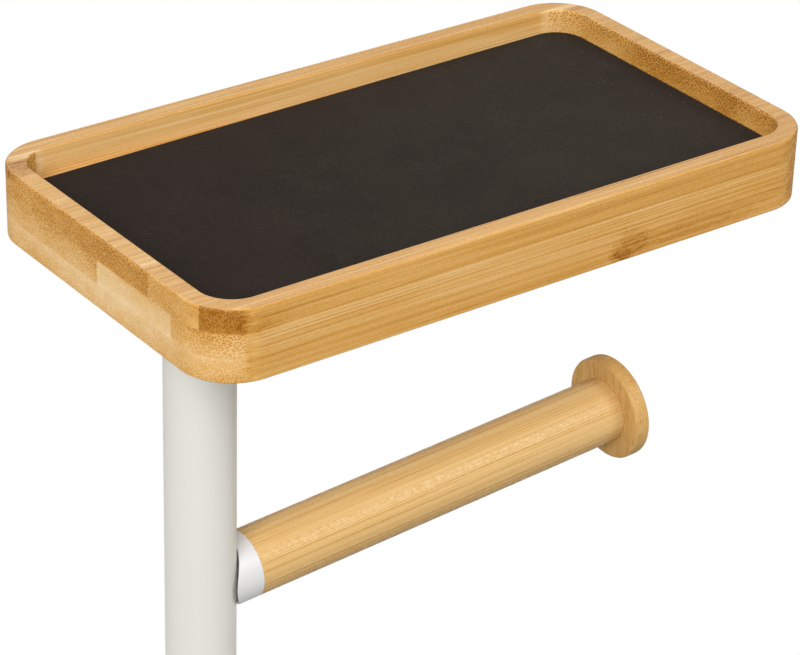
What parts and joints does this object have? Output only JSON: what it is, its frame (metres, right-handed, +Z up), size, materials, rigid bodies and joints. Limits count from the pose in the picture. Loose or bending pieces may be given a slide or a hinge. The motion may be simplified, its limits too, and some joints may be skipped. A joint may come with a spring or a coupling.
{
  "type": "toilet paper stand",
  "caption": "Free-standing toilet paper stand: bamboo tray with a loose mat on a white steel pole, a bamboo roll arm, and a weighted bamboo base.",
  "frame": {"origin": "on the floor under the middle of the base board and of the tray", "axes": "+Z up, +X along the tray's long side towards the roll arm's free end, +Y to the back"},
  "size_m": [0.22, 0.15, 0.65],
  "materials": {
    "tray_bamboo": "satin lacquered laminated bamboo, grain along the tray",
    "base_bamboo": "satin lacquered laminated bamboo, grain along the board",
    "rod_bamboo": "satin lacquered turned bamboo, grain along the rod",
    "disc_bamboo": "satin lacquered turned bamboo, grain across the disc",
    "dowel_wood": "plain beech",
    "mat_sheet": "matt dark brown-black sheet with a fine leathery texture",
    "white_coat": "warm white satin powder coat",
    "white_plastic": "plain white moulded plastic",
    "plain_steel": "turned steel",
    "zinc_steel": "bright zinc plated steel",
    "ballast_steel": "dark painted steel plate",
    "insert_brass": "plain brass",
    "pad_rubber": "dark anti-slip rubber"
  },
  "bodies": {
    "stand": {"tray": "tray_bamboo", "tray_flange": "white_coat", "tray_screws": "zinc_steel", "pole_upper": "white_coat", "pole_lower": "white_coat", "upper_joint_plug": "plain_steel", "lower_joint_plug": "plain_steel", "foot_plug": "plain_steel", "joint_stud": "zinc_steel", "arm_anchor": "plain_steel", "arm_collar": "white_plastic", "arm_stud": "zinc_steel", "rod_insert": "insert_brass", "roll_rod": "rod_bamboo", "disc_dowel": "dowel_wood", "end_disc": "disc_bamboo", "base_board": "base_bamboo", "ballast_plate": "ballast_steel", "ballast_screws": "zinc_steel", "base_washer": "zinc_steel", "base_bolt": "zinc_steel", "base_pads": "pad_rubber"},
    "mat": {"tray_mat": "mat_sheet"}
  },
  "joints": [
    {"name": "mat_lift", "type": "slide", "parent": "stand", "child": "mat", "axis": [0, 0, 1], "range_m": [0, 0.03]}
  ]
}
